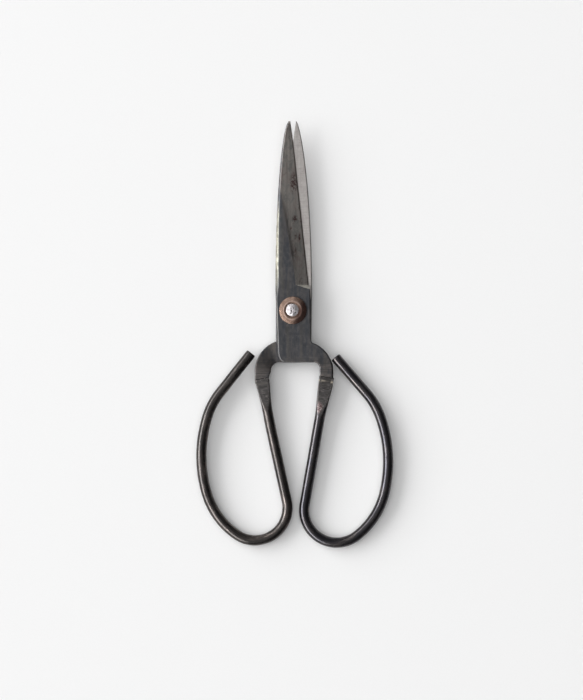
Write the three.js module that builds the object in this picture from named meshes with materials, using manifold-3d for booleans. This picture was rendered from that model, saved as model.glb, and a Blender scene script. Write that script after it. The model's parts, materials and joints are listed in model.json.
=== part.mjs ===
// Floral snips: two forged blades cross on one rivet, and each blade's arm is butt-welded to a
// bent round bar that makes its handle bow. Millimetres. +Y points to the tips and +Z out of the
// front face. The origin is on the hinge axis, at the flat end of the rivet's rear head.
//
// Each half is drawn in a plane of its own: outer face up, spine on the left, tip towards +Y,
// hinge at the origin and height 0 half way between the two blades. The front half is used as
// drawn, and the rear half is turned half a turn about Y.
import * as THREE from 'three';
import { mergeVertices } from 'three/addons/utils/BufferGeometryUtils.js';
import Module from 'manifold-3d';

const wasm = await Module();
wasm.setup();

// Pivot stack
const PLATE = 2.6; // thickness of a blade at the hinge
const FILM = 0.05; // clearance on each face of a blade at the hinge
const SHANK_RADIUS = 2.0;
const RUNNING_FIT = 0.08; // radial clearance on the rivet's shank
const HEAD = { radius: 2.85, height: 1.1, flatRadius: 2.2, rim: 0.3 };
const WASHER = { radius: 6.15, rim: 0.3, crestRadius: 3.75, crest: 1.0, seatRadius: 3.05, seat: 0.75 };
const TURNED_SIDES = 48; // facets round the rivet, the washers and the rivet holes

// Blades
const TIP_Y = 84.4;
const HEEL_Y = 9.4; // where the ground bevel ends at the cutting edge
const TIP_THICKNESS = 1.1;
const EDGE_LAND = 0.15; // height of the cutting edge's flat
const TANG_CHAMFER = 0.75;
const SPINE_CHAMFER = 1.0;
const TIP_CHAMFER = 0.3;
const SIDE_CHAMFER = 0.3; // on the cutting side of the tang
const LEDGE_RISE = 2.0; // how much higher the step above the bevel meets the ridge
const RIDGE = { x: 1.34, run: 35, sweep: 7.3, power: 2.2 }; // upper limit of the bevel
const EDGE_CURL = { depth: 0.36, power: 14 }; // the cutting edge turns in just before the tip
const BLADE_STEPS = 22;

// Arms and handle bars
const BAR_RADIUS = 2.4;
const BAR_SIDES = 16;
const WELD_GAP = 0.1;
const GROUND_DEPTH = 0.3; // what grinding the weld flush takes off the bar's face
const HEEL_BOTTOM_Y = -23.15; // bottom edge of the tang
const CORNER = { rise: 4.6, run: 3.3, bow: 0.5 }; // rounded corner between that edge and the spine
const TANG_FOOT_Y = -13; // where the arm's shoulder leaves the cutting side of the tang
const SHOULDER_ARC = { from: -7, to: 71 }; // degrees round the outside of the arm
const FILLET_ARC = { from: -6, to: 90 }; // degrees round its inside
const BEND_STEP = THREE.MathUtils.degToRad(6);

// The bends of a bow, in order from the weld round to the bar's free end, in mm and degrees
const BOW = [
  { radius: 14.5, turn: 137 },
  { radius: 34, turn: 39 },
  { radius: 59, turn: 34 },
  { radius: 33, turn: 20.7 },
];

// What differs between the two hand-made halves. A weld has the bar's width at the seam, the arm's
// narrower width there, and the length over which the bar goes back to round.
const FRONT = {
  spine: { heel: -7.76, tip: -1.6, fullness: 0.54, tang: -6.7 },
  edge: { heel: 7.3, tip: -1.16, tangTop: 7.6, tangBottom: 8.0 },
  shoulder: { x: 4.2, y: -27.4, radius: 13.8 },
  fillet: { x: 9.2, y: -25.95, radius: 2.8 },
  weld: { x: 15.18, y: -29.6, heading: -99.9, bar: 7.0, arm: 6.1, taper: 19 },
  leg: [{ length: 57.8 }],
  freeLeg: 21.4,
};
const REAR = {
  spine: { heel: -8.5, tip: -1.56, fullness: 0.69, tang: -8.2 },
  edge: { heel: 7.3, tip: -1.43, tangTop: 7.5, tangBottom: 7.6 },
  shoulder: { x: 2.9, y: -27.0, radius: 14.0 },
  fillet: { x: 6.0, y: -26.95, radius: 3.8 },
  weld: { x: 13.8, y: -30.2, heading: -99.85, bar: 6.7, arm: 6.5, taper: 13 },
  leg: [{ length: 14.9 }, { radius: 220, turn: -2.45 }, { length: 31.5 }],
  freeLeg: 22.4,
};

const WASHER_Z = FILM + PLATE + FILM; // the washer's flat side, from the middle of the stack
const MIDDLE_Z = HEAD.height + WASHER.seat + WASHER_Z;

const { lerp, degToRad, smoothstep } = THREE.MathUtils;
const vec2 = (x, y) => new THREE.Vector2(x, y);

// Closed skin through rings that all have the same number of points, with a flat cap at each end.
function skin(rings) {
  const count = rings[0].length;
  const corners = [];
  const triangle = (a, b, c) => {
    const shortest = Math.min(a.distanceTo(b), b.distanceTo(c), c.distanceTo(a));
    if (shortest > 1e-6) corners.push(a, b, c);
  };
  for (let k = 0; k + 1 < rings.length; k++) {
    for (let i = 0; i < count; i++) {
      const j = (i + 1) % count;
      triangle(rings[k][i], rings[k][j], rings[k + 1][j]);
      triangle(rings[k][i], rings[k + 1][j], rings[k + 1][i]);
    }
  }
  const first = rings[0];
  const last = rings[rings.length - 1];
  for (let i = 1; i + 1 < count; i++) {
    triangle(first[0], first[i + 1], first[i]);
    triangle(last[0], last[i], last[i + 1]);
  }
  return new THREE.BufferGeometry().setFromPoints(corners);
}

// The solid inside a closed three.js geometry.
function solid(geometry) {
  const bare = geometry.clone();
  bare.deleteAttribute('normal');
  bare.deleteAttribute('uv');
  const merged = mergeVertices(bare, 1e-4);
  const vertProperties = merged.getAttribute('position').array;
  const triVerts = new Uint32Array(merged.index.array);
  return new wasm.Manifold(new wasm.Mesh({ numProp: 3, vertProperties, triVerts }));
}

function geometryOf(body) {
  const { vertProperties, triVerts } = body.getMesh();
  const geometry = new THREE.BufferGeometry();
  geometry.setAttribute('position', new THREE.BufferAttribute(vertProperties, 3));
  geometry.setIndex(new THREE.BufferAttribute(triVerts, 1));
  geometry.computeVertexNormals();
  return geometry;
}

// Part of a circle as a curve, with angles in degrees.
function arc({ x, y, radius }, { from, to }) {
  return new THREE.EllipseCurve(x, y, radius, radius, degToRad(from), degToRad(to));
}

function chain(...curves) {
  const path = new THREE.CurvePath();
  curves.forEach((curve) => path.add(curve));
  return path;
}

// The two ends of the arm's side of the weld, inner and outer.
function seamEnds({ x, y, heading, arm: width }) {
  const across = vec2(0, width / 2).rotateAround(vec2(0, 0), degToRad(heading));
  return { inner: vec2(x, y).sub(across), outer: vec2(x, y).add(across) };
}

// The blade from heel to tip: its thickness, its spine, its cutting edge and the bevel's ridge.
const along = (y) => Math.max(0, (y - HEEL_Y) / (TIP_Y - HEEL_Y));
const thickness = (y) => lerp(PLATE, TIP_THICKNESS, along(y));
const spineX = ({ heel, tip, fullness }, y) => tip + (heel - tip) * (1 - along(y) ** 2) ** fullness;
const edgeX = ({ heel, tip }, y) =>
  lerp(heel, tip + EDGE_CURL.depth, along(y)) - EDGE_CURL.depth * along(y) ** EDGE_CURL.power;
const ridgeX = (y) => {
  const reach = Math.max(0, (y - HEEL_Y - LEDGE_RISE) / RIDGE.run);
  return RIDGE.x - RIDGE.sweep * reach ** RIDGE.power;
};

// Cross-section of a blade from rail to rail: up the spine on the left, over the face, and down
// the right side, which is wall high.
function section(left, right, { inner, outer, wall, ridge, chamfer }) {
  const across = left.clone().sub(right).normalize();
  const crest = left.clone().addScaledVector(across, -chamfer);
  const shoulder = ridge ?? right.clone().addScaledVector(across, SIDE_CHAMFER);
  const at = (point, z) => new THREE.Vector3(point.x, point.y, z);
  return [
    at(left, inner),
    at(left, outer - chamfer),
    at(crest, outer),
    at(shoulder, outer),
    at(right, wall),
    at(right, inner),
  ];
}

// Sections of the arm and the tang, from the weld up to the ground part of the blade. The inner
// face drops from the blade's plane to the full depth of the bar on the way to the weld.
function tangSections({ spine, edge, shoulder, fillet, weld }) {
  const seam = seamEnds(weld);
  const heel = vec2(spine.tang, HEEL_BOTTOM_Y + CORNER.rise);
  const corner = new THREE.QuadraticBezierCurve(
    vec2(spine.tang + CORNER.run, HEEL_BOTTOM_Y),
    vec2(spine.tang + CORNER.bow, HEEL_BOTTOM_Y),
    heel,
  );
  const outside = arc(shoulder, SHOULDER_ARC);
  const inside = arc(fillet, FILLET_ARC);
  const tangFoot = vec2(edge.tangBottom, TANG_FOOT_Y);
  const bottom = new THREE.LineCurve(inside.getPoint(1), corner.v0);
  const zones = [
    { left: inside, right: outside, steps: 9, deep: true },
    { left: chain(bottom, corner), right: new THREE.LineCurve(outside.getPoint(1), tangFoot), steps: 10 },
    {
      left: new THREE.LineCurve(heel, vec2(spine.heel, HEEL_Y)),
      right: new THREE.LineCurve(tangFoot, vec2(edge.tangTop, HEEL_Y - 4)),
      steps: 3,
    },
  ];
  const rings = [];
  const add = (left, right, depth) => {
    const inner = lerp(FILM, -BAR_RADIUS, depth);
    const outer = lerp(FILM + PLATE, BAR_RADIUS, depth);
    const wall = outer - SIDE_CHAMFER;
    rings.push(section(left, right, { inner, outer, wall, chamfer: TANG_CHAMFER }));
  };
  add(seam.inner, seam.outer, 1);
  for (const { left, right, steps, deep } of zones) {
    for (let i = 0; i < steps; i++) {
      const depth = deep ? 1 - smoothstep(i / steps, 0.1, 0.9) : 0;
      add(left.getPoint(i / steps), right.getPoint(i / steps), depth);
    }
  }
  return rings;
}

// Sections of the ground part of the blade. The first two lie on the step where the bevel ends.
function bladeSections({ spine, edge }) {
  const outer = FILM + PLATE;
  const ledge = { inner: FILM, outer, wall: outer - SIDE_CHAMFER, chamfer: SPINE_CHAMFER };
  const heelLeft = vec2(spine.heel, HEEL_Y + 2 * LEDGE_RISE);
  const heelRight = vec2(edge.tangTop, HEEL_Y);
  const ridgeFoot = vec2(RIDGE.x, HEEL_Y + LEDGE_RISE);
  const rings = [section(heelLeft, heelRight, ledge)];
  rings.push(section(heelLeft, heelRight, { ...ledge, ridge: ridgeFoot }));
  for (let i = 0; i <= BLADE_STEPS; i++) {
    const reach = Math.sin((Math.PI / 2) * (i / BLADE_STEPS)); // the steps close up at the tip
    const y = lerp(HEEL_Y + LEDGE_RISE, TIP_Y, reach);
    const leftY = lerp(heelLeft.y + 0.5, TIP_Y, reach);
    const left = vec2(spineX(spine, leftY), leftY);
    const right = vec2(edgeX(edge, y), y);
    const width = right.distanceTo(left);
    const chamfer = Math.min(lerp(SPINE_CHAMFER, TIP_CHAMFER, reach), 0.3 * width);
    const ridgeLimit = left.x + chamfer + 0.1 * width;
    const ridgeY = lerp(ridgeFoot.y + 0.1, TIP_Y, reach);
    rings.push(
      section(left, right, {
        inner: FILM,
        outer: FILM + thickness(y),
        wall: FILM + EDGE_LAND,
        ridge: vec2(Math.max(ridgeX(ridgeY), ridgeLimit), ridgeY),
        chamfer,
      }),
    );
  }
  return rings;
}

function blade(half) {
  const plate = solid(skin([...tangSections(half), ...bladeSections(half)]));
  const drill = new THREE.CylinderGeometry(
    SHANK_RADIUS + RUNNING_FIT,
    SHANK_RADIUS + RUNNING_FIT,
    4 * PLATE,
    TURNED_SIDES,
  ).rotateX(Math.PI / 2);
  return geometryOf(plate.subtract(solid(drill)));
}

// Points, directions and distances along a bar, bend by bend, from the weld to the free end.
function barStations({ weld, leg, freeLeg }) {
  const taperStops = [0.15, 0.4, 0.7, 1].map((part) => part * weld.taper);
  const stations = [{ x: weld.x, y: weld.y, heading: degToRad(weld.heading), run: 0 }];
  const step = (length, turn) => {
    const { x, y, heading, run } = stations[stations.length - 1];
    const chord = heading + turn / 2;
    stations.push({
      x: x + length * Math.cos(chord),
      y: y + length * Math.sin(chord),
      heading: heading + turn,
      run: run + length,
    });
  };
  for (const { length, radius, turn } of [...leg, ...BOW, { length: freeLeg }]) {
    if (length) {
      const from = stations[stations.length - 1].run;
      const stops = taperStops.filter((stop) => stop > from && stop < from + length);
      [...stops, from + length].forEach((stop) => step(stop - stations[stations.length - 1].run, 0));
    } else {
      const count = Math.ceil(Math.abs(degToRad(turn)) / BEND_STEP);
      const share = degToRad(turn) / count;
      for (let i = 0; i < count; i++) step(2 * radius * Math.sin(Math.abs(share) / 2), share);
    }
  }
  return stations;
}

// The handle bar: wide and ground flush at the weld, round from there on.
function bar(half) {
  const { taper, bar: weldWidth } = half.weld;
  const rings = barStations(half).map(({ x, y, heading, run }) => {
    const spread = 1 - smoothstep(run, 0, taper);
    const halfWidth = lerp(BAR_RADIUS, weldWidth / 2, spread);
    const faceZ = BAR_RADIUS - GROUND_DEPTH * Math.max(0, 1 - run / taper);
    const start = run === 0 ? WELD_GAP : 0;
    return Array.from({ length: BAR_SIDES }, (_, i) => {
      const angle = (2 * Math.PI * (i + 0.5)) / BAR_SIDES;
      const side = vec2(start, halfWidth * Math.cos(angle)).rotateAround(vec2(0, 0), heading);
      return new THREE.Vector3(x + side.x, y + side.y, Math.min(BAR_RADIUS * Math.sin(angle), faceZ));
    });
  });
  return skin(rings);
}

// Domed washer: flat underneath, with a crest round the seat of the rivet's head.
function washer() {
  const hole = SHANK_RADIUS + RUNNING_FIT;
  const slope = new THREE.QuadraticBezierCurve(
    vec2(WASHER.radius, WASHER.rim),
    vec2(lerp(WASHER.radius, WASHER.crestRadius, 0.6), WASHER.crest),
    vec2(WASHER.crestRadius, WASHER.crest),
  );
  const profile = [
    vec2(hole, 0),
    vec2(WASHER.radius, 0),
    ...slope.getPoints(5),
    vec2(WASHER.seatRadius, WASHER.seat),
    vec2(hole, WASHER.seat),
    vec2(hole, 0),
  ];
  return new THREE.LatheGeometry(profile, TURNED_SIDES).rotateX(Math.PI / 2);
}

// The rivet, from the flat of its rear head to the crown of its peened front head.
function rivet() {
  const top = 2 * MIDDLE_Z;
  const crown = new THREE.QuadraticBezierCurve(
    vec2(HEAD.radius, top - HEAD.height + HEAD.rim),
    vec2(0.75 * HEAD.radius, top),
    vec2(0, top),
  );
  const profile = [
    vec2(0, 0),
    vec2(HEAD.flatRadius, 0),
    vec2(HEAD.radius, HEAD.height - HEAD.rim),
    vec2(HEAD.radius, HEAD.height),
    vec2(SHANK_RADIUS, HEAD.height),
    vec2(SHANK_RADIUS, top - HEAD.height),
    vec2(HEAD.radius, top - HEAD.height),
    ...crown.getPoints(6),
  ];
  return new THREE.LatheGeometry(profile, TURNED_SIDES).rotateX(Math.PI / 2);
}

function mesh(name, geometry, color, roughness, metalness) {
  const material = new THREE.MeshStandardMaterial({ color, roughness, metalness });
  const made = new THREE.Mesh(geometry, material);
  made.name = name;
  return made;
}

const STEEL = [0x5d5853, 0.38, 1];
const POLISHED_STEEL = [0x9a9590, 0.3, 1];
const BLACKED_STEEL = [0x2b2725, 0.42, 0.8];
const COPPER = [0xa8795e, 0.34, 1];
const RIVET_STEEL = [0xb4b0aa, 0.36, 1];

const frontHalf = new THREE.Group();
frontHalf.position.z = MIDDLE_Z;
frontHalf.add(mesh('front_blade', blade(FRONT), ...STEEL));
frontHalf.add(mesh('front_handle', bar(FRONT), ...BLACKED_STEEL));

const rearHalf = new THREE.Group();
rearHalf.position.z = MIDDLE_Z;
rearHalf.rotation.y = Math.PI;
rearHalf.add(mesh('rear_blade', blade(REAR), ...POLISHED_STEEL));
rearHalf.add(mesh('rear_handle', bar(REAR), ...BLACKED_STEEL));

const frontWasher = mesh('front_washer', washer(), ...COPPER);
frontWasher.position.z = MIDDLE_Z + WASHER_Z;
const rearWasher = mesh('rear_washer', washer(), ...COPPER);
rearWasher.position.z = MIDDLE_Z - WASHER_Z;
rearWasher.rotation.x = Math.PI;

const snips = new THREE.Group();
snips.add(frontHalf, rearHalf, frontWasher, rearWasher);
snips.add(mesh('pivot_rivet', rivet(), ...RIVET_STEEL));

export default snips;
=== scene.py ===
# Looks of the floral snips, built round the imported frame. Blender's lengths are metres. Lengths
# named here are millimetres, and MM turns them into metres where a mesh or the camera is made. Only
# the floor's and the lamps' are named in metres.
# +Y points to the tips and +Z out of the front face. Each half is drawn outer face up with its
# spine on the left and height 0 half way between the blades, as in the CAD, and the rear half is
# then turned half a turn about Y.
import json
import math

import bmesh
import bpy
import numpy as np
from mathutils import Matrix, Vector, noise


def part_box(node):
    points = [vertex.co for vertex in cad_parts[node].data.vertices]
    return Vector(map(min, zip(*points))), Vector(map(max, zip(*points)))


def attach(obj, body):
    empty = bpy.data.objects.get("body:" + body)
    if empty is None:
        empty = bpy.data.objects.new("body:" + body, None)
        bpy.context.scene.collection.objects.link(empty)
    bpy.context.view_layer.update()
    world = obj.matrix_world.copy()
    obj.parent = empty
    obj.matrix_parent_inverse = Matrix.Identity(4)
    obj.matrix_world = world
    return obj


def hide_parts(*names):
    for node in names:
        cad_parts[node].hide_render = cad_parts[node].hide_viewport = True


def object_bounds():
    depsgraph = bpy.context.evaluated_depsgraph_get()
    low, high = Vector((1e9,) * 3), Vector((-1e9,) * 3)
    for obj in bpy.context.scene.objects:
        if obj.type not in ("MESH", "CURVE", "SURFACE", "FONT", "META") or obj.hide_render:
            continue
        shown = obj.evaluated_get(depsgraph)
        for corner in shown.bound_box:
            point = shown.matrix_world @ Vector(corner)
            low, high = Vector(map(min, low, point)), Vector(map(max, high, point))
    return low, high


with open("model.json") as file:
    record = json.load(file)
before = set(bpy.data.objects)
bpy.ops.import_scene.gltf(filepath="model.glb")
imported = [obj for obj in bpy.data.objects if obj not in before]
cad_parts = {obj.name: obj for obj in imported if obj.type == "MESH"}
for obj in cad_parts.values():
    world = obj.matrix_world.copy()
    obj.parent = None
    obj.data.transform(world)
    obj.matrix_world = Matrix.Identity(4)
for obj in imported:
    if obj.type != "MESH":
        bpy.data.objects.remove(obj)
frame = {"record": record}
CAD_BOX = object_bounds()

MM = 0.001


def box_mm(node):
    """Lowest and highest corner of a CAD node, in millimetres."""
    return tuple(np.array(corner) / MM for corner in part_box(node))


# Heights of the pivot stack and the sizes that the frame gives
RIVET_LO, RIVET_HI = box_mm("pivot_rivet")
WASHER_LO, WASHER_HI = box_mm("front_washer")
MIDDLE_Z = (RIVET_LO[2] + RIVET_HI[2]) / 2
TIP_Y = box_mm("front_blade")[1][1]
BAR_RADIUS = MIDDLE_Z - box_mm("front_handle")[0][2]
HEAD_RADIUS = RIVET_HI[0]
WASHER_RADIUS = WASHER_HI[0]
WASHER_FOOT = WASHER_LO[2] - MIDDLE_Z

# Blades. What the CAD also names has its value, apart from TANG_CHAMFER, SPINE_CHAMFER and the
# ridge's sweep and power, which are tuned to the photo.
PLATE = 2.6
FILM = 0.05
HEEL_Y = 9.4
HEEL_BLEND = 0.6  # over which the tang's rounded right side becomes the cutting edge
TIP_THICKNESS = 1.1
EDGE_LAND = 0.15
TANG_CHAMFER = 0.5
SPINE_CHAMFER = 1.25
TIP_CHAMFER = 0.3
LEDGE_RISE = 2.0
LEDGE_Y = HEEL_Y + LEDGE_RISE  # where the ledge meets the ridge
RIDGE = dict(x=1.34, run=35, sweep=5.7, power=1.1)
EDGE_CURL = dict(depth=0.36, power=14)
SHANK_RADIUS = 2.0
HOLE_RADIUS = SHANK_RADIUS + 0.08

# Arms and bars, with the CAD's sizes. Arcs are degrees, and a bow's bends are radius and turn.
HEEL_BOTTOM_Y = -23.15
CORNER = dict(rise=4.6, run=3.3, bow=0.5)
TANG_FOOT_Y = -13
SHOULDER_ARC = (-7, 71)
FILLET_ARC = (-6, 90)
BOW = [(14.5, 137), (34, 39), (59, 34), (33, 20.7)]

# What differs between the halves: x of the spine and of the edge at the tang, the heel and the tip,
# the arm's shoulder and fillet as x, y and radius, the weld with the bar's width and the arm's, the
# bar's straights and bends, what grinding took off the bar beside the weld, and the weld's scars.
FRONT = dict(
    spine=dict(heel=-7.76, tip=-1.6, fullness=0.54, tang=-6.7),
    edge=dict(heel=7.3, tip=-1.16, tangTop=7.6, tangBottom=8.0),
    shoulder=(4.2, -27.4, 13.8),
    fillet=(9.2, -25.95, 2.8),
    weld=dict(x=15.18, y=-29.6, heading=-99.9, bar=7.0, arm=6.1, taper=19),
    leg=[57.8],
    freeLeg=21.4,
    flat=dict(side=1, depth=0.38, run=19),
    scar=dict(seam=1.0, scab=1.0),
)
REAR = dict(
    spine=dict(heel=-8.5, tip=-1.56, fullness=0.69, tang=-8.2),
    edge=dict(heel=7.3, tip=-1.43, tangTop=7.5, tangBottom=7.6),
    shoulder=(2.9, -27.0, 14.0),
    fillet=(6.0, -26.95, 3.8),
    weld=dict(x=13.8, y=-30.2, heading=-99.85, bar=6.7, arm=6.5, taper=13),
    leg=[14.9, (220, -2.45), 31.5],
    freeLeg=22.4,
    flat=dict(side=-1, depth=0.30, run=16),
    scar=dict(seam=0.2, scab=0.0),
)


def lerp(a, b, t):
    return a + (b - a) * t


def step(x, low, high):
    """0 below low, 1 above high, and a smooth rise between."""
    t = np.clip((np.asarray(x, float) - low) / (high - low), 0, 1)
    return t * t * (3 - 2 * t)


def soft_positive(x, blur):
    """max(x, 0) with its corner rounded over about blur."""
    return (x + np.sqrt(x * x + blur * blur)) / 2


def bend(start, pull, end, t):
    """Points at shares t of a curve from start to end, drawn towards pull."""
    return (1 - t) ** 2 * start + 2 * t * (1 - t) * pull + t * t * end


def ripple(points, size, seed):
    """Smooth noise from about -1 to 1 at each point, with bumps about size across."""
    size = np.broadcast_to(np.asarray(size, float), (3,))
    shifted = np.asarray(points, float) / size + seed * np.array([7.3, 3.1, 5.7])
    values = [noise.noise(Vector(p)) for p in shifted.reshape(-1, 3)]
    return np.array(values).reshape(shifted.shape[:-1])


# ---------------------------------------------------------------- meshes

def to_world(points, rear):
    """Moves a half's own points, in mm, to where they are in the frame, in metres."""
    out = np.array(points, float)
    if rear:
        out[..., 0] *= -1
        out[..., 2] *= -1
    out[..., 2] += MIDDLE_Z
    return out * MM


SHARP_FROM = 38  # degrees


def skin(name, rings, attributes, rear=False, looped=False, sharp_from=SHARP_FROM):
    """Closed mesh through rings of equal length: flat at both ends, or looped, its last ring
    joined to its first. Edges that turn more than sharp_from degrees stay sharp."""
    count, sides = rings.shape[:2]
    here = np.arange(count * sides).reshape(count, sides)
    after = np.roll(here, -1, axis=1)
    quads = np.stack([here, after, np.roll(after, -1, axis=0), np.roll(here, -1, axis=0)], -1)
    if looped:
        faces = quads.reshape(-1, 4).tolist()
    else:
        faces = [*quads[:-1].reshape(-1, 4).tolist(), here[0][::-1].tolist(), here[-1].tolist()]
    mesh = bpy.data.meshes.new(name)
    mesh.from_pydata(to_world(rings, rear).reshape(-1, 3).tolist(), [], faces)
    for key, values in attributes.items():
        flat = np.asarray(values, np.float32)
        kind, field = ("FLOAT_VECTOR", "vector") if flat.ndim == 3 else ("FLOAT", "value")
        mesh.attributes.new(key, kind, "POINT").data.foreach_set(field, flat.ravel())
    work = bmesh.new()
    work.from_mesh(mesh)
    bmesh.ops.remove_doubles(work, verts=work.verts, dist=1e-7)
    bmesh.ops.dissolve_degenerate(work, edges=work.edges, dist=1e-8)
    bmesh.ops.recalc_face_normals(work, faces=work.faces)
    work.to_mesh(mesh)
    work.free()
    shade_smooth(mesh, sharp_from)
    made = bpy.data.objects.new(name, mesh)
    bpy.context.scene.collection.objects.link(made)
    return made


def shade_smooth(mesh, sharp_from):
    mesh.shade_smooth()
    mesh.set_sharp_from_angle(angle=math.radians(sharp_from))


def settle(piece, node, material):
    """Gives a piece its finish and body, and lets it stand for the CAD node."""
    piece.data.materials.append(material)
    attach(piece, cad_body[node])
    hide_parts(node)


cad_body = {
    node: body
    for body, nodes in frame["record"]["behaviour"]["bodies"].items()
    for node in nodes
}


# ---------------------------------------------------------------- blades

def along(y):
    """Share of the way from the heel to the tip."""
    return np.maximum(0, (y - HEEL_Y) / (TIP_Y - HEEL_Y))


def thickness(y):
    return lerp(PLATE, TIP_THICKNESS, along(y))


def spine_x(spine, y):
    """The spine's line from the corner of the tang to the tip."""
    low = HEEL_BOTTOM_Y + CORNER["rise"]
    tang = lerp(spine["tang"], spine["heel"], np.clip((y - low) / (HEEL_Y - low), 0, 1))
    full = np.clip(1 - along(y) ** 2, 0, 1) ** spine["fullness"]
    return np.where(y < HEEL_Y, tang, spine["tip"] + (spine["heel"] - spine["tip"]) * full)


def edge_x(edge, y):
    """The cutting edge's line, and the tang's right side below it."""
    part = along(y)
    cut = lerp(edge["heel"], edge["tip"] + EDGE_CURL["depth"], part)
    cut = cut - EDGE_CURL["depth"] * part ** EDGE_CURL["power"]
    tang = lerp(edge["tangBottom"], edge["tangTop"],
                np.clip((y - TANG_FOOT_Y) / (HEEL_Y - TANG_FOOT_Y), 0, 1))
    return np.where(y < HEEL_Y, tang, lerp(edge["tangTop"], cut, step(y, HEEL_Y, LEDGE_Y)))


def ridge_x(half, y):
    """Upper limit of the ground bevel."""
    reach = np.maximum(0, (y - HEEL_Y - LEDGE_RISE) / RIDGE["run"])
    left, right = spine_x(half["spine"], y), edge_x(half["edge"], y)
    limit = left + spine_chamfer(y) + 0.1 * (right - left) * (1 - step(along(y), 0.4, 0.65))
    return np.maximum(RIDGE["x"] - RIDGE["sweep"] * reach ** RIDGE["power"], limit)


def spine_chamfer(y):
    return lerp(SPINE_CHAMFER, TIP_CHAMFER, along(y))


def arc_points(circle, angles, t):
    """Points at shares t of an arc between two angles in degrees."""
    x, y, radius = circle
    angle = np.radians(lerp(angles[0], angles[1], t))
    return np.stack([x + radius * np.cos(angle), y + radius * np.sin(angle)], -1)


def on_polyline(points, t):
    """Points at shares t of a polyline's length."""
    run = np.r_[0, np.cumsum(np.linalg.norm(np.diff(points, axis=0), axis=1))]
    at = np.asarray(t) * run[-1]
    return np.stack([np.interp(at, run, points[:, i]) for i in (0, 1)], -1)


def blade_rails(half):
    """Left and right rail, and how far each section has turned into the bar's full depth."""
    spine, edge, weld = half["spine"], half["edge"], half["weld"]
    heading = math.radians(weld["heading"])
    across = weld["arm"] / 2 * np.array([-math.sin(heading), math.cos(heading)])
    seam = np.array([weld["x"], weld["y"]])
    left, right, depth = [], [], []

    def add(new_left, new_right, new_depth):
        left.append(new_left)
        right.append(new_right)
        depth.append(np.broadcast_to(new_depth, len(new_left)))

    # the arm, from its weld round the fillet and the shoulder
    t = np.linspace(0, 1, 46)[:-1]
    fillet = arc_points(half["fillet"], FILLET_ARC, np.linspace(0, 1, 60))
    shoulder = arc_points(half["shoulder"], SHOULDER_ARC, np.linspace(0, 1, 90))
    arm_left = on_polyline(np.vstack([[seam - across], fillet]), t)
    arm_right = on_polyline(np.vstack([[seam + across], shoulder]), t)
    add(arm_left, arm_right, 1 - step(t, 0.1, 0.9))

    # the tang's bottom edge and its rounded corner, against its right side's foot
    end = arc_points(half["fillet"], FILLET_ARC, 1.0)
    foot = np.array([spine["tang"] + CORNER["run"], HEEL_BOTTOM_Y])
    pull = np.array([spine["tang"] + CORNER["bow"], HEEL_BOTTOM_Y])
    heel = np.array([spine["tang"], HEEL_BOTTOM_Y + CORNER["rise"]])
    corner = bend(foot, pull, heel, np.linspace(0, 1, 30)[:, None])
    t = np.linspace(0, 1, 60)[:-1]
    shoulder_end = arc_points(half["shoulder"], SHOULDER_ARC, 1.0)
    tang_foot = np.array([edge["tangBottom"], TANG_FOOT_Y])
    add(on_polyline(np.vstack([[end], corner]), t), lerp(shoulder_end, tang_foot, t[:, None]), 0)

    # up the tang, past the ledge and along the blade, as stretches of y on either rail
    past_ledge, below_heel = HEEL_Y + 2 * LEDGE_RISE, HEEL_Y - HEEL_BLEND
    to_tip = np.sin(np.linspace(0, 1, 240) * math.pi / 2)
    stretches = [
        (heel[1], past_ledge, TANG_FOOT_Y, below_heel, np.linspace(0, 1, 66)[:-1]),
        (past_ledge, past_ledge + 0.5, below_heel, LEDGE_Y, np.linspace(0, 1, 14)[:-1]),
        (past_ledge + 0.5, TIP_Y, LEDGE_Y, TIP_Y, to_tip),
    ]
    for left_from, left_to, right_from, right_to, t in stretches:
        left_y, right_y = lerp(left_from, left_to, t), lerp(right_from, right_to, t)
        add(np.stack([spine_x(spine, left_y), left_y], -1),
            np.stack([edge_x(edge, right_y), right_y], -1), 0)
    return np.vstack(left), np.vstack(right), np.hstack(depth)


def rail_distance(points, rail, window=45):
    """Distance of each point in each section to the nearest stretch of a rail."""
    out = np.empty(points.shape[:2])
    for k, row in enumerate(points):
        near = rail[max(0, k - window) : k + window + 1]
        a, ab = near[:-1], np.diff(near, axis=0)
        size = np.maximum((ab * ab).sum(-1), 1e-12)
        t = np.clip(((row[:, None] - a) * ab).sum(-1) / size, 0, 1)
        out[k] = np.linalg.norm(row[:, None] - (a + t[..., None] * ab), axis=-1).min(1)
    return out


def rounded(distance, radius):
    """How far a rounded edge lies under the face at that distance from the rail."""
    inside = np.clip(radius - distance, 0, radius)
    return radius - np.sqrt(np.maximum(radius**2 - inside**2, 0))


EDGE_SAMPLES = np.array([0, 0.06, 0.16, 0.3, 0.5, 0.75, 0.98, 1.12, 1.4])
FACE_SAMPLES = 32
WALL_SAMPLES = np.array([0.15, 0.5, 0.85])
MICRO_BEVEL = 0.55  # width of the steeper honed strip along the cutting edge
MICRO_RISE = 0.28
ARM_CHAMFER = 0.4
LEDGE_RUN = 6.2  # from the ridge to where the ledge meets the cutting edge
THINNEST = 0.08  # what is left between the faces at least
BEVEL_SHOWS = 0.08  # depth of grinding from which the scale is gone


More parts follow.
